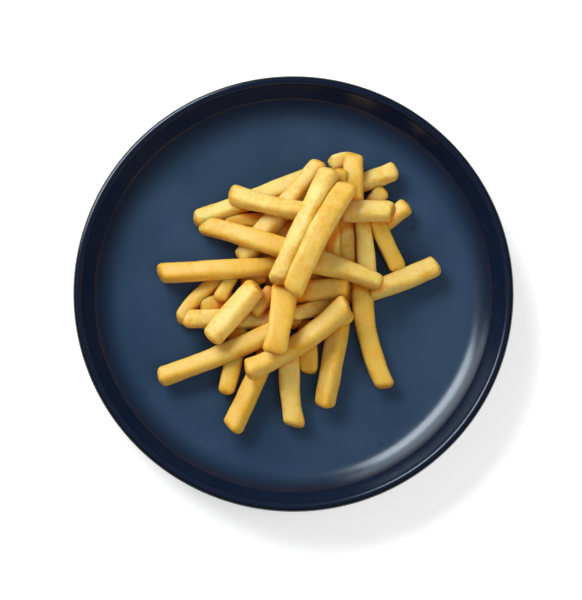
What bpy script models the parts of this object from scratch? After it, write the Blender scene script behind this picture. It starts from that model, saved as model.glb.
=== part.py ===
"""A portion of french fries heaped on a round, rimmed, glazed stoneware plate.

Frame: metres, +Z up, the plate stands on z = 0 about the Z axis, the diner sits at -Y.
Two solids: the turned plate, and the heap of fries as one body out to its uneven outline.
"""
import math

import bmesh
import bpy
import numpy as np

for leftover in list(bpy.data.objects):
    bpy.data.objects.remove(leftover, do_unlink=True)

MM = 0.001

# ---- the plate, in millimetres --------------------------------------------------
RIM_RADIUS = 135.0        # outermost, where the rim is rolled
PLATE_HEIGHT = 30.0
FLOOR_TOP = 8.0           # the flat well that the food lies on
WELL_RADIUS = 104.0       # the well is flat out to here
CREASE_RADIUS = 123.5     # where the cove meets the steep wall
COVE_END_SLOPE = 0.84     # rise over run of the cove where it meets the wall
RIM_INNER_RADIUS = 129.6
RIM_TUBE = 2.7            # radius of the rounded lip
FOOT_RADIUS = 88.0        # middle of the foot ring
FOOT_WIDTH = 6.0
FOOT_DEPTH = 3.0
FLOOR_THICKNESS = 5.0
OUTSIDE_STEPS = ((0.6, 5.0), (4.0, 12.0), (11.0, 19.0))   # in from the rim, down from the lip
HAUNCH_IN = 22.0          # where the outside turns in towards the foot
HAUNCH_RISE = 2.0
FOOT_SPLAY = 3.0          # how far the underside reaches in to the foot, outside it
FOOT_DRAFT = 1.5          # and inside it
PLATE_SEGMENTS = 80
COVE_STEPS = 7
LIP_STEPS = 6

# ---- the heap -------------------------------------------------------------------
FOOD_GAP = 0.3            # between the food and the glaze
NEST = 4.2                # how far a fry settles in between those under it
STEEPEST = 0.30           # steepest lie of a fry, rise over run
LEAN_STEPS = 25
MOST_ARCH = 6.5           # how far the middle of a fry of USUAL_LENGTH sags or humps
ARCH_STEPS = 13
USUAL_LENGTH = 75.0
ARCH_COST = 0.05          # makes a straight fry the first choice
BEARING = 0.80            # share of its length over which a fry is held clear
BEARING_WIDTH = 0.3       # share of its width, to each side, that bears
EDGE_DROP = 1.0 / 3.0     # how far its rounded edge lies below its top, as a share
CELL = 1.0                # height map pitch
REACH = 112.0             # half the height map
CORE_CENTRE = (12.0, 19.0)
CORE_RADIUS = 33.0
CORE_HEIGHT = 9.0
CORE_SEGMENTS = 20
BELOW_EQUATOR = 0.001     # on the unit sphere that the core is scaled from

# Each fry as it is laid down, the lowest first: where its middle line starts and ends on
# the plate (x, y, x, y), its width and thickness, how far it is rolled about its length
# in degrees, and how far its middle bows sideways.
FRIES = (
    ("left_fill", -36, -3, -58, -9, 10.5, 9.0, -6, 0),
    ("front_left_long", -11, -27, -38, -85, 12.0, 11.5, 26, 0),
    ("front_middle", -2, -28, 1, -83, 13.5, 11.0, 0, -2),
    ("front_short", 8, -17, 10, -50, 11.5, 10.0, 0, 0),
    ("front_right", 29, -15, 19, -71, 12.5, 11.5, 32, 0),
    ("left_stub", -33, -17, -42, -63, 11.5, 10.0, 12, 1),
    ("right_curved", 43, 16, 57, -59, 13.5, 11.0, 6, -5),
    ("left_hook", -41, 11, -71, -18, 10.0, 9.0, 14, -3),
    ("cross_low", -67, -17, 5, -17, 11.5, 10.0, -12, 0),
    ("right_upper_tip", 72, 56, 48, 36, 11.0, 10.0, 15, 0),
    ("right_link", 50, 46, 66, 14, 10.5, 10.0, 0, 0),
    ("right_upper_low", 57, 66, 45, 52, 10.0, 9.5, 0, 0),
    ("middle_post_a", 24, 48, 24, 14, 11.0, 9.5, 4, 0),
    ("middle_post_d", 16, 44, 15, 14, 9.5, 9.5, 6, 0),
    ("middle_post_b", 33, 50, 34, 14, 11.0, 9.5, 4, 0),
    ("centre_low", -1, -15, 28, -6, 10.0, 9.5, 8, 0),
    ("under_tip", 36, -14, 17, -23, 9.5, 9.0, 0, 0),
    ("right_arm", 45, 0, 90, 18, 12.5, 11.0, -18, -1),
    ("left_tucked", -35, 17, -46, -6, 9.5, 9.0, 0, 0),
    ("left_under", -44, 43, -15, 45, 9.5, 9.0, 0, 2),
    ("left_inner", -22, 30, 6, 44, 9.5, 9.0, -8, 0),
    ("back_left_long", -62, 46, 13, 75, 11.0, 10.0, -16, -1),
    ("back_slant", 17, 80, -33, 20, 12.0, 11.0, 22, 0),
    ("right_upper_arm", 35, 68, 65, 78, 11.5, 10.5, -20, -1),
    ("middle_post_c", 43, 45, 46, 8, 11.0, 10.0, 4, 0),
    ("left_peek", -17, 12, -32, 5, 9.5, 9.0, -5, 0),
    ("middle_chip", -12, 3, -25, -15, 9.5, 9.0, 0, 0),
    ("left_slant", -22, 3, -51, -31, 13.5, 11.5, 26, 0),
    ("left_low_long", -83, -53, -6, -23, 11.5, 11.0, -22, -1),
    ("middle_bar", -4, -1, 34, 2, 13.0, 10.5, -16, 0),
    ("front_slant", -29, -50, 33, -9, 12.5, 11.5, -22, -4),
    ("right_bar", 28, 49, 62, 48, 12.0, 11.0, -26, 0),
    ("back_cap", 23, 81, 39, 85, 10.5, 10.0, 0, 1),
    ("back_post", 38, 87, 38, 52, 12.5, 10.5, 5, -1),
    ("back_sliver", 29, 76, 28, 59, 9.0, 9.0, 0, 0),
    ("left_upper", -57, 43, 0, 23, 12.0, 10.5, -8, 0),
    ("left_top", -40, 62, 9, 47, 11.5, 10.5, -22, -2),
    ("left_reach", -84, 12, -8, 16, 11.5, 11.0, -22, -1),
    ("middle_wedge", 11, 18, 54, 3, 15.5, 11.5, -22, 1),
    ("front_pale", -5, 3, -12, -41, 15.5, 10.5, 4, 1),
    ("crown_left", 23, 74, -10, 3, 12.5, 11.0, 18, 0),
    ("crown_right", 34, 64, -1, -5, 14.0, 11.0, 6, -2),
)

# Width of the far end over that of the near end, where a fry clearly narrows or widens.
TAPERS = {"middle_wedge": 0.55, "left_hook": 0.85, "left_stub": 0.9, "back_left_long": 1.1,
          "left_upper": 1.1, "crown_right": 0.95, "right_curved": 0.95, "right_upper_tip": 0.9}

# ---- the shape of one fry -------------------------------------------------------
CORNER = 0.30             # chamfer of the section, as a share of its half width
STATIONS = ((0.0, 0.62), (0.05, 0.97), (0.27, 1.0), (0.50, 1.0), (0.73, 1.0), (0.95, 0.97), (1.0, 0.62))


def new_material(name, colour, roughness):
    """A plain Principled material."""
    material = bpy.data.materials.new(name)
    material.use_nodes = True
    shader = material.node_tree.nodes["Principled BSDF"]
    shader.inputs["Base Color"].default_value = (*colour, 1.0)
    shader.inputs["Roughness"].default_value = roughness
    return material


def add_object(name, bm, material, smooth):
    """Put a finished mesh, in millimetres, into the scene in metres."""
    bmesh.ops.recalc_face_normals(bm, faces=bm.faces)
    bmesh.ops.scale(bm, vec=(MM, MM, MM), verts=bm.verts)
    mesh = bpy.data.meshes.new(name)
    bm.to_mesh(mesh)
    bm.free()
    for face in mesh.polygons:
        face.use_smooth = smooth
    mesh.materials.append(material)
    item = bpy.data.objects.new(name, mesh)
    bpy.context.scene.collection.objects.link(item)
    return item


def cove_height(radius):
    """Height of the upper face at a radius inside the crease: flat, then a parabola."""
    run = CREASE_RADIUS - WELL_RADIUS
    past = np.maximum(np.asarray(radius, dtype=float) - WELL_RADIUS, 0.0)
    return FLOOR_TOP + past ** 2 * COVE_END_SLOPE / (2.0 * run)


def plate_profile():
    """The turned section from the middle of the well over the rim to under the middle."""
    points = [(0.0, FLOOR_TOP), (WELL_RADIUS, FLOOR_TOP)]
    for step in range(1, COVE_STEPS + 1):
        radius = WELL_RADIUS + (CREASE_RADIUS - WELL_RADIUS) * step / COVE_STEPS
        points.append((radius, float(cove_height(radius))))
    lip_radius = RIM_INNER_RADIUS + RIM_TUBE
    lip_height = PLATE_HEIGHT - RIM_TUBE
    for step in range(LIP_STEPS + 1):
        angle = math.pi * (1.0 - step / LIP_STEPS)
        points.append((lip_radius + RIM_TUBE * math.cos(angle),
                       lip_height + RIM_TUBE * math.sin(angle)))
    underside = FLOOR_TOP - FLOOR_THICKNESS
    half_foot = FOOT_WIDTH / 2.0
    for inward, down in OUTSIDE_STEPS:
        points.append((RIM_RADIUS - inward, lip_height - down))
    points.append((RIM_RADIUS - HAUNCH_IN, underside + HAUNCH_RISE))
    points.append((FOOT_RADIUS + half_foot + FOOT_SPLAY, underside))
    points.append((FOOT_RADIUS + half_foot, 0.0))
    points.append((FOOT_RADIUS - half_foot, 0.0))
    points.append((FOOT_RADIUS - half_foot - FOOT_DRAFT, FOOT_DEPTH))
    points.append((0.0, underside))
    return points


def make_plate():
    """Carry the section once round the Z axis, with a single vertex at each pole."""
    bm = bmesh.new()
    rows = []
    for radius, height in plate_profile():
        if radius == 0.0:
            rows.append([bm.verts.new((0.0, 0.0, height))])
            continue
        ring = []
        for step in range(PLATE_SEGMENTS):
            angle = 2.0 * math.pi * step / PLATE_SEGMENTS
            ring.append(bm.verts.new((radius * math.cos(angle), radius * math.sin(angle), height)))
        rows.append(ring)
    for upper, lower in zip(rows, rows[1:]):
        for step in range(PLATE_SEGMENTS):
            following = (step + 1) % PLATE_SEGMENTS
            corners = [upper[step % len(upper)], upper[following % len(upper)],
                       lower[following % len(lower)], lower[step % len(lower)]]
            bm.faces.new(list(dict.fromkeys(corners)))
    glaze = new_material("blue_black_glaze", (0.02, 0.045, 0.09), 0.25)
    return add_object("plate", bm, glaze, True)


def rolled_size(width, thickness, roll):
    """Width and height taken up by a section once it is rolled."""
    turn = math.radians(abs(roll))
    across = width * math.cos(turn) + thickness * math.sin(turn)
    upright = thickness * math.cos(turn) + width * math.sin(turn)
    return across, upright


def core_height(x, y):
    """The low mound of buried fries in the middle, as a height over the plate."""
    share = ((x - CORE_CENTRE[0]) ** 2 + (y - CORE_CENTRE[1]) ** 2) / CORE_RADIUS ** 2
    return FLOOR_TOP + CORE_HEIGHT * np.sqrt(np.clip(1.0 - share, 0.0, 1.0))


def lay_fries():
    """Lay the fries one by one: the underside's height at both ends, and its arch.

    A height map starts as the plate with the core on it. Each fry tries every lean and
    every arch up to the most, rises until it clears the share BEARING of its length, and
    keeps the shape that lies lowest on average. Then it is added to the map.
    """
    axis = np.arange(-REACH + CELL / 2.0, REACH, CELL)
    x, y = np.meshgrid(axis, axis, indexing="ij")
    pile = np.maximum(cove_height(np.hypot(x, y)), core_height(x, y))
    lean, arch = np.meshgrid(np.linspace(-STEEPEST, STEEPEST, LEAN_STEPS),
                             np.linspace(-MOST_ARCH, MOST_ARCH, ARCH_STEPS), indexing="ij")
    lean = lean.reshape(-1, 1)
    arch = arch.reshape(-1, 1)
    lying = []
    for _, x0, y0, x1, y1, width, thickness, roll, bow in FRIES:
        length = math.hypot(x1 - x0, y1 - y0)
        ux = (x1 - x0) / length
        uy = (y1 - y0) / length
        across, upright = rolled_size(width, thickness, roll)
        along = (x - x0) * ux + (y - y0) * uy
        share = np.clip(along / length, 0.0, 1.0)
        side = (y - y0) * ux - (x - x0) * uy - bow * 4.0 * share * (1.0 - share)
        under = (along > CELL) & (along < length - CELL) & (np.abs(side) < across * BEARING_WIDTH)
        slices = int(length / (2.0 * CELL))
        slot = np.clip((along / length * slices).astype(int), 0, slices - 1)
        support = np.full(slices, FLOOR_TOP)
        np.maximum.at(support, slot[under], pile[under])
        part = ((np.arange(slices) + 0.5) / slices)[None, :]
        reach = length / USUAL_LENGTH
        shape = lean * length * (part - 0.5) + arch * reach * 4.0 * part * (1.0 - part)
        lift = np.quantile(support[None, :] - NEST - shape, BEARING, axis=1)
        lift = np.maximum(lift, (FLOOR_TOP - shape).max(axis=1))
        level = lift + shape.mean(axis=1) + np.abs(arch[:, 0]) * ARCH_COST
        best = int(np.argmin(level))
        drop = float(lean[best, 0]) * length / 2.0
        start = float(lift[best]) - drop
        end = float(lift[best]) + drop
        hump = float(arch[best, 0]) * reach
        lying.append((start, end, hump))
        covered = (along > 0.0) & (along < length) & (np.abs(side) < across / 2.0)
        edge = np.clip(np.abs(side) / (across / 2.0), 0.0, 1.0)
        underside = start + (end - start) * share + hump * 4.0 * share * (1.0 - share)
        top = underside + upright * (1.0 - EDGE_DROP * edge ** 3)
        pile = np.where(covered, np.maximum(pile, top), pile)
    return lying


def fry_section(width, thickness, roll):
    """Eight corners of a square section with its edges cut off, rolled about its middle."""
    turn = math.radians(roll)
    corners = []
    for sx, sy, flat in ((1, 1, 0), (1, 1, 1), (-1, 1, 1), (-1, 1, 0),
                         (-1, -1, 0), (-1, -1, 1), (1, -1, 1), (1, -1, 0)):
        u = sx * width / 2.0 * (1.0 - (CORNER if flat else 0.0))
        v = sy * thickness / 2.0 * (1.0 if flat else 1.0 - CORNER)
        corners.append((u * math.cos(turn) - v * math.sin(turn),
                        u * math.sin(turn) + v * math.cos(turn)))
    return corners


def make_fry(name, row, lying):
    """One bar, bowed sideways and arched, between its two ends, with flat end faces."""
    row_name, x0, y0, x1, y1, width, thickness, roll, bow = row
    length = math.hypot(x1 - x0, y1 - y0)
    ux = (x1 - x0) / length
    uy = (y1 - y0) / length
    upright = rolled_size(width, thickness, roll)[1]
    taper = TAPERS.get(row_name, 1.0)
    bm = bmesh.new()
    rings = []
    for share, scale in STATIONS:
        section = fry_section(width * (1.0 + (taper - 1.0) * share), thickness, roll)
        shift = bow * 4.0 * share * (1.0 - share)
        hump = lying[2] * 4.0 * share * (1.0 - share)
        cx = x0 + ux * length * share - uy * shift
        cy = y0 + uy * length * share + ux * shift
        cz = lying[0] + (lying[1] - lying[0]) * share + hump + upright / 2.0 + FOOD_GAP
        ring = []
        for u, v in section:
            ring.append(bm.verts.new((cx - uy * u * scale, cy + ux * u * scale, cz + v * scale)))
        rings.append(ring)
    count = len(section)
    for first, second in zip(rings, rings[1:]):
        for step in range(count):
            following = (step + 1) % count
            bm.faces.new((first[step], first[following], second[following], second[step]))
    bm.faces.new(rings[0])
    bm.faces.new(rings[-1])
    return add_object(name, bm, FRIED, False)


def make_core():
    """The low mound under the middle of the heap, flat below."""
    bm = bmesh.new()
    bmesh.ops.create_uvsphere(bm, u_segments=CORE_SEGMENTS, v_segments=CORE_SEGMENTS // 2, radius=1.0)
    bottom = [vert for vert in bm.verts if vert.co.z < -BELOW_EQUATOR]
    bmesh.ops.delete(bm, geom=bottom, context="VERTS")
    bmesh.ops.holes_fill(bm, edges=[edge for edge in bm.edges if edge.is_boundary])
    bmesh.ops.scale(bm, vec=(CORE_RADIUS, CORE_RADIUS, CORE_HEIGHT), verts=bm.verts)
    bmesh.ops.translate(bm, vec=(*CORE_CENTRE, FLOOR_TOP + FOOD_GAP), verts=bm.verts)
    return add_object("fries", bm, FRIED, False)


FRIED = new_material("fried_potato", (0.75, 0.48, 0.12), 0.6)
plate = make_plate()
heap = make_core()
for fry_row, fry_lying in zip(FRIES, lay_fries()):
    bar = make_fry("fry_" + fry_row[0], fry_row, fry_lying)
    join = heap.modifiers.new("join", "BOOLEAN")
    join.operation = "UNION"
    join.solver = "EXACT"
    join.object = bar
    graph = bpy.context.evaluated_depsgraph_get()
    joined = bpy.data.meshes.new_from_object(heap.evaluated_get(graph))
    heap.modifiers.clear()
    heap.data = joined
    bpy.data.objects.remove(bar, do_unlink=True)
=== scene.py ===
# %% [markdown]
# # A portion of french fries on a glazed plate
#
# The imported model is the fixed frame: it says how large the plate is and where the heap lies.
# This file only makes things look right around it. Every length below is in metres unless a
# name ends in _MM, and the Z axis points up out of the plate.

# %% Load the frame
import math

import bpy
import numpy as np
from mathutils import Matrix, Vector


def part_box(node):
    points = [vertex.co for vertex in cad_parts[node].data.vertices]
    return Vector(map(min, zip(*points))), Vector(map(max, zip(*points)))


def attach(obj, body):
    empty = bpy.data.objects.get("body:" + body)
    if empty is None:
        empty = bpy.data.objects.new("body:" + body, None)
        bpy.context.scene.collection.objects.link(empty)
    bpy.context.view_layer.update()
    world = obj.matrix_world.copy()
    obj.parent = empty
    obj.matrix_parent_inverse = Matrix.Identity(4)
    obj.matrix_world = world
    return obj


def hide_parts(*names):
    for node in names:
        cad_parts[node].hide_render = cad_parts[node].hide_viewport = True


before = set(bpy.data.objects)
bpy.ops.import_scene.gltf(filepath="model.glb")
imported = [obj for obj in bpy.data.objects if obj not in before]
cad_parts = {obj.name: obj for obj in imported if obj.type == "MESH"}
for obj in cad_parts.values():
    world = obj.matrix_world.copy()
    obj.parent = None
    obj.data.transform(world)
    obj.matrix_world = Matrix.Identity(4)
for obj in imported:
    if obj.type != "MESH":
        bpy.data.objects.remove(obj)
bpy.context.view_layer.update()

MM = 0.001
plate_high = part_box("plate")[1]
heap_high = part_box("fries")[1]
RIM_RADIUS = plate_high.x
PLATE_HEIGHT = plate_high.z
print("plate across", round(2 * RIM_RADIUS / MM, 1), "mm, high", round(PLATE_HEIGHT / MM, 1), "mm")
print("heap top at", round(heap_high.z / MM, 1), "mm")

# %% [markdown]
# ## Node trees as expressions
#
# A glaze or a fried crust is mostly arithmetic on a few masks. Wiring that by hand hides the
# formula, so a Wire wraps one socket and lets Python's own operators add the Math nodes. All
# other nodes come from one method, `add`, that takes the node's type, its settings and its
# inputs.

# %% Wires and finishes
class Wire:
    """One number socket of a node tree, usable in an expression with wires and numbers."""

    def __init__(self, finish, socket):
        self.finish = finish
        self.socket = socket

    def math(self, operation, *values):
        inputs = dict(enumerate(values))
        return self.finish.add("ShaderNodeMath", {"operation": operation}, inputs)

    def __add__(self, other):
        return self.math("ADD", self, other)

    def __radd__(self, other):
        return self.math("ADD", other, self)

    def __sub__(self, other):
        return self.math("SUBTRACT", self, other)

    def __rsub__(self, other):
        return self.math("SUBTRACT", other, self)

    def __mul__(self, other):
        return self.math("MULTIPLY", self, other)

    def __rmul__(self, other):
        return self.math("MULTIPLY", other, self)

    def __truediv__(self, other):
        return self.math("DIVIDE", self, other)

    def __rtruediv__(self, other):
        return self.math("DIVIDE", other, self)

    def __pow__(self, other):
        return self.math("POWER", self, other)

    def step(self, low, high):
        """0 below low, 1 above high, and a smooth S between."""
        return self.finish.add("ShaderNodeMapRange", {"interpolation_type": "SMOOTHSTEP"},
                               {"Value": self, "From Min": low, "From Max": high})


class Finish:
    """A material whose tree is one Principled shader and what feeds it."""

    def __init__(self, name):
        self.material = bpy.data.materials.new(name)
        self.material.use_nodes = True
        self.nodes = self.material.node_tree.nodes
        self.links = self.material.node_tree.links
        self.shader = self.nodes["Principled BSDF"]

    def add(self, kind, settings=None, inputs=None, output=0):
        """Add one node: settings first, then values or wires into its inputs."""
        node = self.nodes.new(kind)
        for key, value in (settings or {}).items():
            setattr(node, key, value)
        for key, value in (inputs or {}).items():
            self.feed(node.inputs[key], value)
        return Wire(self, node.outputs[output])

    def feed(self, socket, value):
        if isinstance(value, Wire):
            self.links.new(value.socket, socket)
        else:
            socket.default_value = value

    def set(self, **values):
        """Set or link the shader's own sockets, with _ for a space in their names."""
        for key, value in values.items():
            self.feed(self.shader.inputs[key.replace("_", " ")], value)

    def blend(self, mask, first, second, way="MIX"):
        """A colour that goes from first to second as the mask goes from 0 to 1."""
        return self.add("ShaderNodeMix", {"data_type": "RGBA", "blend_type": way},
                        {0: mask, 6: first, 7: second}, output=2)

    def noise(self, where, scale, detail=3.0, roughness=0.5):
        return self.add("ShaderNodeTexNoise", {},
                        {"Vector": where, "Scale": scale, "Detail": detail, "Roughness": roughness})

    def place(self):
        return self.add("ShaderNodeTexCoord", output=3)

    def attribute(self, name, output=2):
        return self.add("ShaderNodeAttribute", {"attribute_name": name}, output=output)

    def bump(self, height, strength, distance):
        return self.add("ShaderNodeBump", {},
                        {"Height": height, "Strength": strength, "Distance": distance})


def srgb(red, green, blue):
    """A colour given as the eye sees it, 0 to 255, turned into linear light."""
    share = np.array([red, green, blue]) / 255.0
    linear = np.where(share <= 0.04045, share / 12.92, ((share + 0.055) / 1.055) ** 2.4)
    return (*[float(value) for value in linear], 1.0)


print("blue of the well in linear light:", [round(v, 3) for v in srgb(52, 71, 94)[:3]])

# %% [markdown]
# ## From a grid of points to a mesh
#
# Every new piece here is a sheet of points: rows along something, columns around it. One
# helper turns such a grid, closed round its columns, into faces without a loop over vertices.

# %% Grid to mesh
def ring_faces(rows, columns):
    """Quads between neighbouring rows of a grid whose columns close into rings."""
    row = np.arange(rows - 1)[:, None]
    column = np.arange(columns)[None, :]
    following = (column + 1) % columns
    low = row * columns
    quads = np.stack([low + column, low + following, low + columns + following,
                      low + columns + column], axis=-1)
    return quads.reshape(-1, 4)


def make_mesh(name, points, faces):
    """Put an (n, 3) array of points and a list of face arrays into one smooth mesh."""
    mesh = bpy.data.meshes.new(name)
    mesh.vertices.add(len(points))
    mesh.vertices.foreach_set("co", points.astype(np.float32).ravel())
    corners = np.concatenate([block.ravel() for block in faces])
    sizes = np.concatenate([np.full(len(block), block.shape[1]) for block in faces])
    mesh.loops.add(len(corners))
    mesh.loops.foreach_set("vertex_index", corners.astype(np.int32))
    mesh.polygons.add(len(sizes))
    starts = np.concatenate([[0], np.cumsum(sizes)[:-1]])
    mesh.polygons.foreach_set("loop_start", starts.astype(np.int32))
    mesh.update(calc_edges=True)
    mesh.validate()
    mesh.shade_smooth()
    piece = bpy.data.objects.new(name, mesh)
    bpy.context.scene.collection.objects.link(piece)
    return piece


print("faces of a 3 by 4 ring grid:", len(ring_faces(3, 4)))

# %% [markdown]
# ## The plate's section
#
# The plate is thrown on a wheel, so it is one section turned about Z. The well is flat, a
# cove rises from it to a sharp crease, a steep wall goes on up to a rolled lip, and the
# outside runs back down to a foot ring. The frame's plate has the same section with few
# facets, and a glossy cove would show each facet, so it is turned again here with a fine step.

# %% Section and turning
FLOOR_TOP = 8.0 * MM
WELL_RADIUS = 104.0 * MM
CREASE_RADIUS = 123.5 * MM
COVE_END_SLOPE = 0.84
LIP_TUBE = 2.7 * MM
LIP_CREST = 0.3
LIP_RADIUS = RIM_RADIUS - LIP_TUBE
LIP_HEIGHT = PLATE_HEIGHT - LIP_TUBE
FOOT_OUTER = 91.0 * MM
FOOT_INNER = 85.0 * MM
UNDERSIDE = 3.0 * MM
TURN_STEPS = 240


def cove_height(radius):
    """The well's height at a radius: flat to WELL_RADIUS, then a parabola that reaches
    COVE_END_SLOPE at the crease."""
    past = np.maximum(radius - WELL_RADIUS, 0.0)
    return FLOOR_TOP + past ** 2 * COVE_END_SLOPE / (2.0 * (CREASE_RADIUS - WELL_RADIUS))


def smooth_run(points, steps, pull=0.5):
    """A Catmull-Rom curve through the points: each span is a cubic whose end slopes are
    `pull` times the chord between the neighbours."""
    knots = np.asarray(points, dtype=float)
    padded = np.vstack([2 * knots[0] - knots[1], knots, 2 * knots[-1] - knots[-2]])
    t = np.linspace(0.0, 1.0, steps, endpoint=False)[None, :, None]
    a, b, c, d = (padded[i:i + len(knots) - 1][:, None, :] for i in range(4))
    out_slope = pull * (c - a)
    in_slope = pull * (d - b)
    span = ((2 * t ** 3 - 3 * t ** 2 + 1) * b + (t ** 3 - 2 * t ** 2 + t) * out_slope
            + (3 * t ** 2 - 2 * t ** 3) * c + (t ** 3 - t ** 2) * in_slope)
    return np.vstack([span.reshape(-1, 2), knots[-1:]])


def plate_section():
    """Radius and height from near the middle of the well, over the lip, to under the middle."""
    flat_radius = np.linspace(0.5 * MM, WELL_RADIUS, 40)
    cove_radius = np.linspace(WELL_RADIUS, CREASE_RADIUS, 32)[1:]
    well = np.concatenate([flat_radius, cove_radius])
    inside = np.column_stack([well, cove_height(well)])
    wall_foot = inside[-1]
    wall_top = np.array([LIP_RADIUS - LIP_TUBE, LIP_HEIGHT])
    rise = np.linspace(0.0, 1.0, 14)[1:-1, None]
    wall = wall_foot + (wall_top - wall_foot) * rise
    turn = np.linspace(math.pi, 0.0, 24)
    lip = np.column_stack([LIP_RADIUS + LIP_TUBE * np.cos(turn),
                           LIP_HEIGHT + LIP_TUBE * np.sin(turn)])
    outside = smooth_run([(RIM_RADIUS - 0.1 * MM, LIP_HEIGHT - 1.0 * MM),
                          (RIM_RADIUS - 0.6 * MM, LIP_HEIGHT - 5.0 * MM),
                          (RIM_RADIUS - 4.0 * MM, LIP_HEIGHT - 12.0 * MM),
                          (RIM_RADIUS - 11.0 * MM, LIP_HEIGHT - 19.0 * MM),
                          (RIM_RADIUS - 22.0 * MM, UNDERSIDE + 2.0 * MM),
                          (FOOT_OUTER + 3.0 * MM, UNDERSIDE)], 6)
    foot = np.array([(FOOT_OUTER + 0.6 * MM, UNDERSIDE - 1.2 * MM),
                     (FOOT_OUTER, 0.5 * MM), (FOOT_OUTER - 0.6 * MM, 0.0),
                     (FOOT_INNER + 0.6 * MM, 0.0), (FOOT_INNER, 0.5 * MM),
                     (FOOT_INNER - 1.5 * MM, UNDERSIDE), (0.5 * MM, UNDERSIDE)])
    return np.vstack([inside, wall, lip, outside, foot])


def turned(name, section, steps):
    """The section carried round Z, each point at (r cos a, r sin a, z), closed by a fan of
    triangles to one pole at each end."""
    angle = np.linspace(0.0, 2.0 * math.pi, steps, endpoint=False)
    radius = section[:, 0][:, None]
    height = np.repeat(section[:, 1][:, None], steps, axis=1)
    grid = np.stack([radius * np.cos(angle), radius * np.sin(angle), height], axis=-1)
    rows = len(section)
    points = np.vstack([grid.reshape(-1, 3), [[0.0, 0.0, section[0, 1]]],
                        [[0.0, 0.0, section[-1, 1]]]])
    column = np.arange(steps)
    following = (column + 1) % steps
    top_pole = np.full(steps, rows * steps)
    last = (rows - 1) * steps
    top_fan = np.column_stack([top_pole, column, following])
    bottom_fan = np.column_stack([top_pole + 1, last + following, last + column])
    quads = ring_faces(rows, steps)[:, ::-1]
    return make_mesh(name, points, [quads, top_fan, bottom_fan])


plate_line = plate_section()
plate = turned("glazed_plate", plate_line, TURN_STEPS)
past_lip = np.cumsum(plate_line[:, 0] > LIP_RADIUS + LIP_CREST * LIP_TUBE) > 0
poles_outside = [False, True]
outside_points = np.concatenate([np.repeat(past_lip, TURN_STEPS), poles_outside])
layer = plate.data.attributes.new("outward", "FLOAT", "POINT")
layer.data.foreach_set("value", outside_points.astype(np.float32))
print("plate section points:", len(plate_line), "of them outside:", int(past_lip.sum()))

# %% [markdown]
# ## The glaze
#
# One reactive glaze: deep blue where it pools in the well, thinning to black up the wall,
# over the lip and down the outside. The radius gives the change up the wall, and the mesh
# carries which points lie past the lip. Faint clouding, a few dark specks and slight
# unevenness keep it from looking printed.

# %% Glaze
glaze = Finish("reactive_glaze")
where = glaze.place()
axes = glaze.add("ShaderNodeSeparateXYZ", inputs={"Vector": where})
across = Wire(glaze, axes.socket.node.outputs["X"])
deep = Wire(glaze, axes.socket.node.outputs["Y"])
radius = (across * across + deep * deep) ** 0.5
cloud = glaze.noise(where, 14.0, 4.0, 0.55)
fine = glaze.noise(where, 220.0, 2.0, 0.6)
outer = radius + (cloud - 0.5) * (4.0 * MM)
to_black = outer.step(106.0 * MM, 124.0 * MM)
outward = glaze.attribute("outward")
well_colour = glaze.blend(cloud.step(0.3, 0.7), srgb(38, 60, 86), srgb(50, 72, 98))
edge_colour = glaze.blend(to_black, well_colour, srgb(15, 26, 48))
full_colour = glaze.blend(outward, edge_colour, srgb(7, 9, 13))
speck = glaze.add("ShaderNodeTexVoronoi", {"feature": "F1"}, {"Vector": where, "Scale": 60.0})
fleck = 1.0 - speck.step(0.035, 0.06)
glaze.set(Base_Color=glaze.blend(fleck * 0.6, full_colour, srgb(16, 22, 34)),
          Roughness=0.20 + (fine - 0.5) * 0.08,
          Normal=glaze.bump(cloud, 0.25, 0.6 * MM))
glaze.set(IOR=1.5, Coat_Weight=0.0, Specular_IOR_Level=0.5)
glaze.shader.inputs["Specular Tint"].default_value = (0.80, 0.90, 1.0, 1.0)
plate.data.materials.append(glaze.material)
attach(plate, "root")
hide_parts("plate")
print("glaze nodes:", len(glaze.nodes))

# %% [markdown]
# ## How the fries lie
#
# Each fry is named and placed by where its middle line starts and ends on the plate, in
# millimetres. How high each one lies is worked out: they are laid down one by one on a height
# map, the lowest first.

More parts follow.
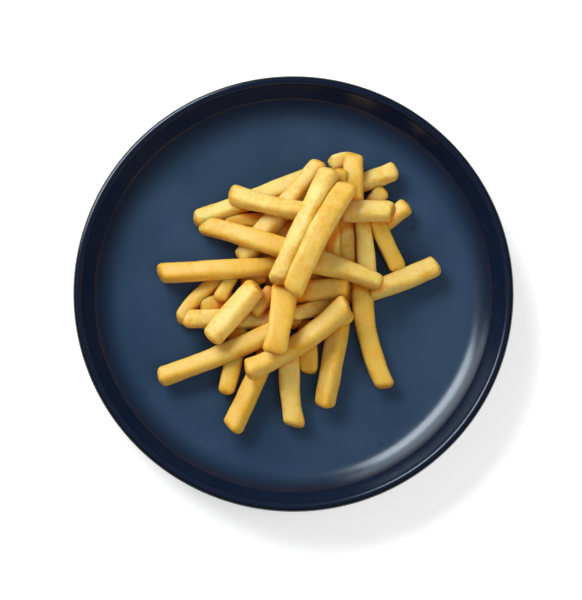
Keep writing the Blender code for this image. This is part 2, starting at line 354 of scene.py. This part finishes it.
# %% The fries, the lowest first
NEST_MM = 4.2
FRIES = (
    # name, start x, start y, end x, end y, width, thickness, roll in degrees, sideways bow
    ("left_fill", -36, -3, -58, -9, 10.5, 9.0, -6, 0),
    ("front_left_long", -11, -27, -38, -85, 12.0, 11.5, 26, 0),
    ("front_middle", -2, -28, 1, -83, 13.5, 11.0, 0, -2),
    ("front_short", 8, -17, 10, -50, 11.5, 10.0, 0, 0),
    ("front_right", 29, -15, 19, -71, 12.5, 11.5, 32, 0),
    ("left_stub", -33, -17, -42, -63, 11.5, 10.0, 12, 1),
    ("right_curved", 43, 16, 57, -59, 13.5, 11.0, 6, -5),
    ("left_hook", -41, 11, -71, -18, 10.0, 9.0, 14, -3),
    ("cross_low", -67, -17, 5, -17, 11.5, 10.0, -12, 0),
    ("right_upper_tip", 72, 56, 48, 36, 11.0, 10.0, 15, 0),
    ("right_link", 50, 46, 66, 14, 10.5, 10.0, 0, 0),
    ("right_upper_low", 57, 66, 45, 52, 10.0, 9.5, 0, 0),
    ("middle_post_a", 24, 48, 24, 14, 11.0, 9.5, 4, 0),
    ("middle_post_d", 16, 44, 15, 14, 9.5, 9.5, 6, 0),
    ("middle_post_b", 33, 50, 34, 14, 11.0, 9.5, 4, 0),
    ("centre_low", -1, -15, 28, -6, 10.0, 9.5, 8, 0),
    ("under_tip", 36, -14, 17, -23, 9.5, 9.0, 0, 0),
    ("right_arm", 45, 0, 90, 18, 12.5, 11.0, -18, -1),
    ("left_tucked", -35, 17, -46, -6, 9.5, 9.0, 0, 0),
    ("left_under", -44, 43, -15, 45, 9.5, 9.0, 0, 2),
    ("left_inner", -22, 30, 6, 44, 9.5, 9.0, -8, 0),
    ("back_left_long", -62, 46, 13, 75, 11.0, 10.0, -16, -1),
    ("back_slant", 17, 80, -33, 20, 12.0, 11.0, 22, 0),
    ("right_upper_arm", 35, 68, 65, 78, 11.5, 10.5, -20, -1),
    ("middle_post_c", 43, 45, 46, 8, 11.0, 10.0, 4, 0),
    ("left_peek", -17, 12, -32, 5, 9.5, 9.0, -5, 0),
    ("middle_chip", -12, 3, -25, -15, 9.5, 9.0, 0, 0),
    ("left_slant", -22, 3, -51, -31, 13.5, 11.5, 26, 0),
    ("left_low_long", -83, -53, -6, -23, 11.5, 11.0, -22, -1),
    ("middle_bar", -4, -1, 34, 2, 13.0, 10.5, -16, 0),
    ("front_slant", -29, -50, 33, -9, 12.5, 11.5, -22, -4),
    ("right_bar", 28, 49, 62, 48, 12.0, 11.0, -26, 0),
    ("back_cap", 23, 81, 39, 85, 10.5, 10.0, 0, 1),
    ("back_post", 38, 87, 38, 52, 12.5, 10.5, 5, -1),
    ("back_sliver", 29, 76, 28, 59, 9.0, 9.0, 0, 0),
    ("left_upper", -57, 43, 0, 23, 12.0, 10.5, -8, 0),
    ("left_top", -40, 62, 9, 47, 11.5, 10.5, -22, -2),
    ("left_reach", -84, 12, -8, 16, 11.5, 11.0, -22, -1),
    ("middle_wedge", 11, 18, 54, 3, 15.5, 11.5, -22, 1),
    ("front_pale", -5, 3, -12, -41, 15.5, 10.5, 4, 1),
    ("crown_left", 23, 74, -10, 3, 12.5, 11.0, 18, 0),
    ("crown_right", 34, 64, -1, -5, 14.0, 11.0, 6, -2),
)
TAPERS = {"middle_wedge": 0.55, "left_hook": 0.85, "left_stub": 0.9, "back_left_long": 1.1,
          "left_upper": 1.1, "crown_right": 0.95, "right_curved": 0.95, "right_upper_tip": 0.9}
print("fries:", len(FRIES))

# %% Laying them down
CELL_MM = 1.0
REACH_MM = 112.0
STEEPEST = 0.30
BEARING = 0.80
LEAN_STEPS = 25
MOST_SAG_MM = 6.5
SAG_STEPS = 13
SAG_COST = 0.05
USUAL_LENGTH_MM = 75.0
BEARING_WIDTH = 0.3
EDGE_DROP = 1.0 / 3.0
CORE_CENTRE_MM = (12.0, 19.0)
CORE_RADIUS_MM = 33.0
CORE_HEIGHT_MM = 9.0


def rolled_size(width, thickness, roll):
    """Width and height that a rectangle takes up once it is turned by the roll."""
    turn = math.radians(abs(roll))
    return (width * math.cos(turn) + thickness * math.sin(turn),
            thickness * math.cos(turn) + width * math.sin(turn))


def core_height(x, y):
    """Half an ellipsoid on the well, in millimetres, standing for the buried fries."""
    share = ((x - CORE_CENTRE_MM[0]) ** 2 + (y - CORE_CENTRE_MM[1]) ** 2) / CORE_RADIUS_MM ** 2
    return FLOOR_TOP / MM + CORE_HEIGHT_MM * np.sqrt(np.clip(1.0 - share, 0.0, 1.0))


def lay_fries():
    """For each fry the height of its underside: start, end, and how far its middle arches.

    The support under it is read in slices. Every lean and every arch up to a limit is
    tried, raised until it clears the share BEARING of the slices, and the one lying lowest
    on average is kept. Over the rest of its length a fry cuts into those under it: soft
    fries give a little there, and this gives more, which keeps the heap from standing tall.
    """
    axis = np.arange(-REACH_MM + CELL_MM / 2.0, REACH_MM, CELL_MM)
    x, y = np.meshgrid(axis, axis, indexing="ij")
    pile = np.maximum(cove_height(np.hypot(x, y) * MM) / MM, core_height(x, y))
    floor = FLOOR_TOP / MM
    lean, arch = np.meshgrid(np.linspace(-STEEPEST, STEEPEST, LEAN_STEPS),
                             np.linspace(-MOST_SAG_MM, MOST_SAG_MM, SAG_STEPS), indexing="ij")
    lean = lean.reshape(-1, 1)
    arch = arch.reshape(-1, 1)
    lying = []
    for _, x0, y0, x1, y1, width, thickness, roll, bow in FRIES:
        length = math.hypot(x1 - x0, y1 - y0)
        ux = (x1 - x0) / length
        uy = (y1 - y0) / length
        wide, upright = rolled_size(width, thickness, roll)
        along = (x - x0) * ux + (y - y0) * uy
        share = np.clip(along / length, 0.0, 1.0)
        side = (y - y0) * ux - (x - x0) * uy - bow * 4.0 * share * (1.0 - share)
        under = (along > CELL_MM) & (along < length - CELL_MM) & (np.abs(side) < wide * BEARING_WIDTH)
        slices = int(length / (2.0 * CELL_MM))
        slot = np.clip((along / length * slices).astype(int), 0, slices - 1)
        support = np.full(slices, floor)
        np.maximum.at(support, slot[under], pile[under])
        part = ((np.arange(slices) + 0.5) / slices)[None, :]
        sag_scale = length / USUAL_LENGTH_MM
        shape = lean * length * (part - 0.5) + arch * 4.0 * part * (1.0 - part) * sag_scale
        lift = np.quantile(support[None, :] - NEST_MM - shape, BEARING, axis=1)
        lift = np.maximum(lift, (floor - shape).max(axis=1))
        level = lift + shape.mean(axis=1) + np.abs(arch[:, 0]) * SAG_COST
        best = int(np.argmin(level))
        hump = float(arch[best, 0]) * sag_scale
        drop = float(lean[best, 0]) * length / 2.0
        start = float(lift[best]) - drop
        end = float(lift[best]) + drop
        lying.append((start, end, hump))
        covered = (along > 0.0) & (along < length) & (np.abs(side) < wide / 2.0)
        edge = np.clip(np.abs(side) / (wide / 2.0), 0.0, 1.0)
        under_side = start + (end - start) * share + hump * 4.0 * share * (1.0 - share)
        top = under_side + upright * (1.0 - edge ** 3 * EDGE_DROP)
        pile = np.where(covered, np.maximum(pile, top), pile)
    return lying, float(pile[np.hypot(x, y) < WELL_RADIUS / MM].max())


lying, heap_top = lay_fries()
print("top of the laid heap:", round(heap_top, 1), "mm")
for fry, lie in zip(FRIES, lying):
    print(" ", fry[0], [round(v, 1) for v in lie])

# %% [markdown]
# ## One fry
#
# A fry is a stick cut by a grid of blades, then blanched and fried. Water leaves it, so its
# faces sink a little, its corners soften and its ends round off. It is a superellipse carried
# along a bowed line: the exponent says how square it is, slow waves make it lumpy, and a
# quarter round closes each end to a small, slightly domed face. Doing this as one formula on
# a grid lets every fry differ, which a copied and scaled stick would not.

# %% The swept shape
AROUND = 32
ALONG = 40
SQUARENESS = 2.9
END_ROUND_MM = 3.6
CAP_RINGS = 7
SUNKEN_FACE = 0.022
CLEARANCE_MM = 0.3
END_SHARE = 0.12
MOST_SLANT = 0.35
TIP_REACH_MM = 4.0
HEAP_SEED = 41


def fry_rings(length, half):
    """Where each ring sits along the fry, how much it shrinks and how far it domes out.

    Along the body the rings are even. At an end they follow a quarter circle of radius
    END_ROUND_MM, then two small rings close most of the face.
    """
    turn = np.linspace(0.0, math.pi / 2.0, CAP_RINGS)
    depth = END_ROUND_MM * (1.0 - np.sin(turn)) / length
    shrink = 1.0 - END_ROUND_MM / half * (1.0 - np.cos(turn))
    body = END_ROUND_MM / length + np.linspace(0.0, 1.0, ALONG) * (1.0 - 2.0 * END_ROUND_MM / length)
    t = np.concatenate([[0.0, 0.0], depth[::-1][:-1], body, 1.0 - depth[1:], [1.0, 1.0]])
    face = shrink[-1] * np.array([0.33, 0.66])
    k = np.concatenate([face, shrink[::-1][:-1], np.ones(ALONG), shrink[1:], face[::-1]])
    dome = np.zeros(len(t))
    dome[:2] = (-0.35, -0.25)
    dome[-2:] = (0.25, 0.35)
    return t, k, dome


def fry_points(row, lie, rng):
    """Points of one fry as rings along it, in millimetres, and its per-point values.

    A point is C(t) + k (a S + b T): C is the bowed middle line, S points sideways, T is up,
    and (a, b) is the superellipse |cos|^(2/n), |sin|^(2/n), sized, made lumpy and turned by
    the roll.
    """
    name, x0, y0, x1, y1, width, thickness, roll, bow = row
    length = math.hypot(x1 - x0, y1 - y0)
    ux = (x1 - x0) / length
    uy = (y1 - y0) / length
    upright = rolled_size(width, thickness, roll)[1]
    t, k, dome = fry_rings(length, min(width, thickness) / 2.0)
    angle = np.linspace(0.0, 2.0 * math.pi, AROUND, endpoint=False) + math.pi / AROUND
    power = 2.0 / SQUARENESS
    u = np.sign(np.cos(angle)) * np.abs(np.cos(angle)) ** power
    v = np.sign(np.sin(angle)) * np.abs(np.sin(angle)) ** power
    waves = rng.uniform(0.0, 2.0 * math.pi, 9)
    taper = 1.0 + (TAPERS.get(name, 1.0) - 1.0) * t
    wide = width / 2.0 * taper * (1.0 + 0.05 * np.sin(4.5 * t + waves[0])
                                  + 0.02 * np.sin(13.0 * t + waves[1]))
    thick = thickness / 2.0 * (1.0 + 0.05 * np.sin(5.5 * t + waves[2])
                               + 0.02 * np.sin(15.0 * t + waves[3]))
    twist = math.radians(roll) + math.radians(6.0) * np.sin(2.5 * t + waves[4])
    around = angle[None, :]
    along = (t * length)[:, None]
    lump = (1.0 - SUNKEN_FACE * np.cos(4.0 * around)
            + 0.022 * np.sin(2.0 * around + 0.13 * along + waves[5])
            + 0.014 * np.sin(3.0 * around - 0.24 * along + waves[6])
            + 0.009 * np.sin(5.0 * around + 0.45 * along + waves[7])
            + 0.006 * np.sin(8.0 * around - 0.9 * along + waves[8]))
    a = u[None, :] * (wide * k)[:, None] * lump
    b = v[None, :] * (thick * k)[:, None] * lump
    side = a * np.cos(twist)[:, None] - b * np.sin(twist)[:, None]
    rise = a * np.sin(twist)[:, None] + b * np.cos(twist)[:, None]
    slant = rng.uniform(-MOST_SLANT, MOST_SLANT, 4)
    near = (np.clip(1.0 - t / END_SHARE, 0.0, 1.0) ** 2)[:, None]
    far = (np.clip(1.0 - (1.0 - t) / END_SHARE, 0.0, 1.0) ** 2)[:, None]
    push = (near * slant[0] + far * slant[1]) * side + (near * slant[2] + far * slant[3]) * rise
    push = push + dome[:, None]
    shift = bow * 4.0 * t * (1.0 - t)
    base = lie[0] + (lie[1] - lie[0]) * t + lie[2] * 4.0 * t * (1.0 - t)
    cx = x0 + ux * length * t - uy * shift
    cy = y0 + uy * length * t + ux * shift
    cz = base + upright / 2.0 + CLEARANCE_MM
    px = cx[:, None] - uy * side + ux * push
    py = cy[:, None] + ux * side + uy * push
    pz = np.maximum(cz[:, None] + rise, FLOOR_TOP / MM + CLEARANCE_MM)
    full = np.ones_like(a)
    corner = (np.abs(u * v) / np.abs(u * v).max())[None, :] ** 2 * full
    tip = np.exp(-np.minimum(t, 1.0 - t) * length / TIP_REACH_MM)[:, None] * full
    stick_mm = np.stack([along * full, side, rise], axis=-1)
    return np.stack([px, py, pz], axis=-1), corner, tip, stick_mm


trial = fry_points(FRIES[0], lying[0], np.random.default_rng(HEAP_SEED))[0]
print("one fry is a grid of", trial.shape[:2], "points")

# %% [markdown]
# ## Painted shade in the hollows of the heap
#
# Where fries cross, and in the cracks of the heap, the crust is painted amber as shade. A roof map
# holds the highest crust over each square millimetre;
# smoothed, and compared with a point's own height, it tells how deep in a hollow the point lies, and
# so how much painted shade it gets.

# %% Roof map
ROOF_HALF_MM = 130
ROOF_BLUR_MM = 5
HOLLOW_SHADE_DEPTH_MM = 11.0
HOLLOW_SHADE_START_MM = 3.0


def painted_shade_of(points_mm):
    """0 for crust in the open, up to 1 for crust HOLLOW_SHADE_DEPTH_MM below the heap round it: how
    much painted shade it gets.
    """
    size = 2 * ROOF_HALF_MM
    cell = np.clip((points_mm[:, :2] + ROOF_HALF_MM).astype(int), 0, size - 1)
    roof = np.full((size, size), FLOOR_TOP / MM)
    np.maximum.at(roof, (cell[:, 0], cell[:, 1]), points_mm[:, 2])
    for axis in (0, 1):
        roof = sum(np.roll(roof, shift, axis) for shift in range(-ROOF_BLUR_MM, ROOF_BLUR_MM + 1))
        roof = roof / (2 * ROOF_BLUR_MM + 1)
    below = roof[cell[:, 0], cell[:, 1]] - points_mm[:, 2] + HOLLOW_SHADE_START_MM
    return np.clip(below / HOLLOW_SHADE_DEPTH_MM, 0.0, 1.0)


# %% The heap
NOISE_SHIFT_MM = 137.0


def heap_of_fries():
    """All the fries in one mesh, with the values that its material reads."""
    rng = np.random.default_rng(HEAP_SEED)
    points, faces, corners, tips, tones, sticks = [], [], [], [], [], []
    start = 0
    for index, (row, lie) in enumerate(zip(FRIES, lying)):
        grid, corner, tip, stick_mm = fry_points(row, lie, rng)
        count = len(grid) * AROUND
        last = count - AROUND
        column = np.arange(AROUND)
        following = (column + 1) % AROUND
        near_fan = np.column_stack([np.full(AROUND, count), following, column])
        far_fan = np.column_stack([np.full(AROUND, count + 1), last + column, last + following])
        faces += [ring_faces(len(grid), AROUND) + start, near_fan + start, far_fan + start]
        poles = np.array([grid[0].mean(axis=0), grid[-1].mean(axis=0)])
        pole_sticks = np.array([stick_mm[0].mean(axis=0), stick_mm[-1].mean(axis=0)])
        points.append(np.vstack([grid.reshape(-1, 3), poles]))
        corners.append(np.append(corner.ravel(), [0.0, 0.0]))
        tips.append(np.append(tip.ravel(), [1.0, 1.0]))
        tones.append(np.full(count + 2, rng.uniform(0.0, 1.0)))
        own_noise = [index * NOISE_SHIFT_MM, 0.0, 0.0]
        sticks.append(np.vstack([stick_mm.reshape(-1, 3), pole_sticks]) + own_noise)
        start += count + 2
    cloud = np.vstack(points)
    piece = make_mesh("fries_heap", cloud * MM, faces)
    # One of these values is how deep each point lies below the heap round it. The skin turns that
    # into painted amber shade.
    values = {"corner": np.concatenate(corners), "tip": np.concatenate(tips),
              "tone": np.concatenate(tones), "hollow_shade": painted_shade_of(cloud)}
    for name, value in values.items():
        layer = piece.data.attributes.new(name, "FLOAT", "POINT")
        layer.data.foreach_set("value", value.astype(np.float32))
    layer = piece.data.attributes.new("stick", "FLOAT_VECTOR", "POINT")
    layer.data.foreach_set("vector", np.vstack(sticks).astype(np.float32).ravel())
    return piece


fries = heap_of_fries()
print("fries mesh:", len(fries.data.polygons), "faces")


def signed_volume(piece):
    """Volume from the divergence sum of each triangle with the origin: positive when the
    faces point outwards."""
    mesh = piece.data
    mesh.calc_loop_triangles()
    corners = np.empty(len(mesh.loop_triangles) * 3, dtype=np.int32)
    mesh.loop_triangles.foreach_get("vertices", corners)
    place = np.empty(len(mesh.vertices) * 3)
    mesh.vertices.foreach_get("co", place)
    a, b, c = place.reshape(-1, 3)[corners.reshape(-1, 3)].transpose(1, 0, 2)
    return float(np.einsum("ij,ij->i", a, np.cross(b, c)).sum() / 6.0)


print("signed volumes, cm3: fries", round(signed_volume(fries) * 1e6, 1),
      "plate", round(signed_volume(plate) * 1e6, 1))

# %% [markdown]
# ## What lies under the heap
#
# Below the fries that can be told apart lie short broken ends and crumbs. One low, knobbly
# mound stands for them. It is a dome on a polar grid, its height a half ellipsoid with waves.

# %% Buried core
CORE_RINGS = 24
CORE_STEPS = 72


def core_grid():
    """Polar grid over the core: height is the half ellipsoid plus waves that fade at its rim."""
    share = np.linspace(0.02, 1.0, CORE_RINGS)[:, None]
    angle = np.linspace(0.0, 2.0 * math.pi, CORE_STEPS, endpoint=False)[None, :]
    outline = 1.0 + 0.06 * np.sin(5.0 * angle) + 0.04 * np.sin(9.0 * angle + 1.0)
    reach = CORE_RADIUS_MM * share * outline
    x = CORE_CENTRE_MM[0] + reach * np.cos(angle)
    y = CORE_CENTRE_MM[1] + reach * np.sin(angle)
    dome = CORE_HEIGHT_MM * np.sqrt(np.clip(1.0 - share ** 2, 0.0, 1.0))
    knob = 1.2 * np.sin(0.42 * x) * np.sin(0.37 * y + 0.8) * (1.0 - share ** 4)
    z = FLOOR_TOP / MM + 0.3 + dome + knob * (dome > 1.0)
    return np.stack([x, y, np.maximum(z, FLOOR_TOP / MM + 0.3)], axis=-1)


core = core_grid()
skirt = core[-1].copy()
skirt[:, 2] = FLOOR_TOP / MM + 0.1
core_points = np.vstack([core.reshape(-1, 3), skirt, [core[0].mean(axis=0)], [skirt.mean(axis=0)]])
column = np.arange(CORE_STEPS)
following = (column + 1) % CORE_STEPS
last = CORE_RINGS * CORE_STEPS
core_fans = [np.column_stack([np.full(CORE_STEPS, last + CORE_STEPS), column, following]),
             np.column_stack([np.full(CORE_STEPS, last + CORE_STEPS + 1),
                              last + following, last + column])]
buried = make_mesh("buried_core", core_points * MM,
                   [ring_faces(CORE_RINGS + 1, CORE_STEPS)[:, ::-1], *core_fans])
print("core volume, cm3:", round(signed_volume(buried) * 1e6, 1))

# %% [markdown]
# ## Fried potato
#
# A good fry is pale gold on its open faces, deeper gold along its corners, and browner at its cut
# ends, with a dry, finely blistered skin. Painted shade turns each fry's lower side, and the crust
# deep in the heap's hollows, amber. Light goes a little way in and comes out orange. The mesh
# carries how near each point is to a corner and an end, how deep in a hollow it lies for the
# painted shade, and a tone for each fry, so browning follows the shape.

# %% Fried skin
skin = Finish("fried_potato_skin")
stick = skin.attribute("stick", output=1)
corner = skin.attribute("corner")
tip = skin.attribute("tip")
tone = skin.attribute("tone")
# Painted shade: how deep each point lies in a hollow of the heap.
hollow_shade = skin.attribute("hollow_shade")
parts = skin.add("ShaderNodeSeparateXYZ", inputs={"Vector": stick})
height = Wire(skin, parts.socket.node.outputs["Z"])
patch = skin.noise(stick, 0.10, 3.0, 0.6)
mottle = skin.noise(stick, 0.33, 3.0, 0.6)
blister = skin.noise(stick, 1.1, 3.0, 0.65)
pale = skin.blend(tone, srgb(238, 213, 126), srgb(225, 184, 74))
gold_mask = (patch - 0.5) * 1.6 + (mottle - 0.5) * 1.0 + corner * 0.12 + tone * 0.15 + tip * 0.35
golden = skin.blend(gold_mask.step(-0.1, 0.7), pale, srgb(224, 172, 52))
# Painted shade: the lower side of each fry, below its middle line, is turned deeper orange, broken up
# by the mottle.
painted_underside_shade = (2.0 - height + (mottle - 0.5) * 4.0).step(0.0, 5.5)
shaded = skin.blend(painted_underside_shade * 0.85, golden, srgb(224, 148, 28))
# Painted shade: crust deep in the heap's hollows and under crossing fries turns amber.
amber = skin.blend(hollow_shade.step(0.2, 0.85) * 0.9, shaded, srgb(222, 134, 18))
toast = skin.blend((tip * 0.8 + (mottle - 0.5) * 0.9 - 0.25).step(0.1, 0.8) * 0.6,
                   amber, srgb(188, 116, 30))
skin.set(Base_Color=toast, Roughness=0.46 + (blister - 0.5) * 0.2,
         Normal=skin.bump(blister * 0.6 + mottle * 0.8, 0.30, 0.6 * MM))
skin.set(IOR=1.45, Subsurface_Weight=0.75, Subsurface_Scale=0.008)
skin.shader.inputs["Subsurface Radius"].default_value = (1.0, 0.45, 0.10)
fries.data.materials.append(skin.material)
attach(fries, "root")
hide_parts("fries")
print("skin nodes:", len(skin.nodes))

# %% Crumbs
crumb = Finish("buried_crumb_skin")
spot = crumb.place()
grain = crumb.noise(spot, 160.0, 4.0, 0.6)
coarse = crumb.noise(spot, 60.0, 3.0, 0.6)
crumb.set(Base_Color=crumb.blend(coarse.step(0.35, 0.65), srgb(190, 124, 30), srgb(214, 164, 66)),
          Roughness=0.55 + (grain - 0.5) * 0.2,
          Normal=crumb.bump(grain, 0.5, 1.0 * MM))
crumb.set(IOR=1.45)
buried.data.materials.append(crumb.material)
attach(buried, "root")
print("crumb nodes:", len(crumb.nodes))

# %% [markdown]
# ## Floor, light and camera
#
# A plain pale floor. Two soft boxes stand at the back left: a low one that shapes the fries,
# and a higher, stronger one that draws the bright arc on the front right of the cove. A broad
# fill from the front right opens the shadows and is kept out of reflections.

# %% Floor
FLOOR_HALF = 3.0
floor_mesh = bpy.data.meshes.new("floor")
floor_mesh.from_pydata([(-FLOOR_HALF, -FLOOR_HALF, 0.0), (FLOOR_HALF, -FLOOR_HALF, 0.0),
                        (FLOOR_HALF, FLOOR_HALF, 0.0), (-FLOOR_HALF, FLOOR_HALF, 0.0)],
                       [], [(0, 1, 2, 3)])
floor = bpy.data.objects.new("floor", floor_mesh)
bpy.context.scene.collection.objects.link(floor)
paint = Finish("pale_floor")
paint.set(Base_Color=srgb(250, 250, 250), Roughness=0.9,
          Emission_Color=(1.0, 1.0, 1.0, 1.0), Emission_Strength=0.35)
paint.shader.inputs["Specular IOR Level"].default_value = 0.0
floor_mesh.materials.append(paint.material)
print("floor across", 2 * FLOOR_HALF, "m")

# %% Lights
WORLD_STRENGTH = 0.12


def soft_box(name, azimuth, elevation, distance, width, height, power, target=(0.0, 0.0, 0.02)):
    """An area light at an azimuth from +X, counter-clockwise, facing the target."""
    turn = math.radians(azimuth)
    lift = math.radians(elevation)
    direction = np.array([math.cos(lift) * math.cos(turn), math.cos(lift) * math.sin(turn),
                          math.sin(lift)])
    data = bpy.data.lights.new(name, "AREA")
    data.shape = "RECTANGLE"
    data.size = width
    data.size_y = height
    data.energy = power
    light = bpy.data.objects.new(name, data)
    light.location = np.array(target) + direction * distance
    light.rotation_mode = "QUATERNION"
    light.rotation_quaternion = Vector(direction).to_track_quat("Z", "Y")
    bpy.context.scene.collection.objects.link(light)
    return light


key = soft_box("key", 132, 21, 1.6, 1.5, 0.6, 10)
top = soft_box("overhead", 130, 42, 1.7, 1.0, 0.5, 21.5)
fill = soft_box("fill", -40, 55, 1.6, 1.8, 1.8, 16)
fill.visible_glossy = False
world = bpy.data.worlds.new("studio")
world.use_nodes = True
world.node_tree.nodes["Background"].inputs["Color"].default_value = (1.0, 1.0, 1.0, 1.0)
world.node_tree.nodes["Background"].inputs["Strength"].default_value = WORLD_STRENGTH
bpy.context.scene.world = world
bpy.context.scene.view_settings.view_transform = "Standard"
print("lights:", key.name, top.name, fill.name)

# %% Camera
CAMERA_ELEVATION = 82.0
CAMERA_DISTANCE = 1.0
CAMERA_LENS = 100.0
SENSOR_WIDTH = 36.0
AIM = (-0.0015, -0.0049, 0.018)
camera_data = bpy.data.cameras.new("camera")
camera_data.lens = CAMERA_LENS
camera_data.sensor_width = SENSOR_WIDTH
camera_data.sensor_fit = "HORIZONTAL"
camera = bpy.data.objects.new("camera", camera_data)
lift = math.radians(CAMERA_ELEVATION)
camera.location = (AIM[0], AIM[1] - CAMERA_DISTANCE * math.cos(lift),
                   AIM[2] + CAMERA_DISTANCE * math.sin(lift))
camera.rotation_euler = (math.radians(90.0 - CAMERA_ELEVATION), 0.0, 0.0)
bpy.context.scene.collection.objects.link(camera)
bpy.context.scene.camera = camera
print("camera at", [round(v, 3) for v in camera.location])
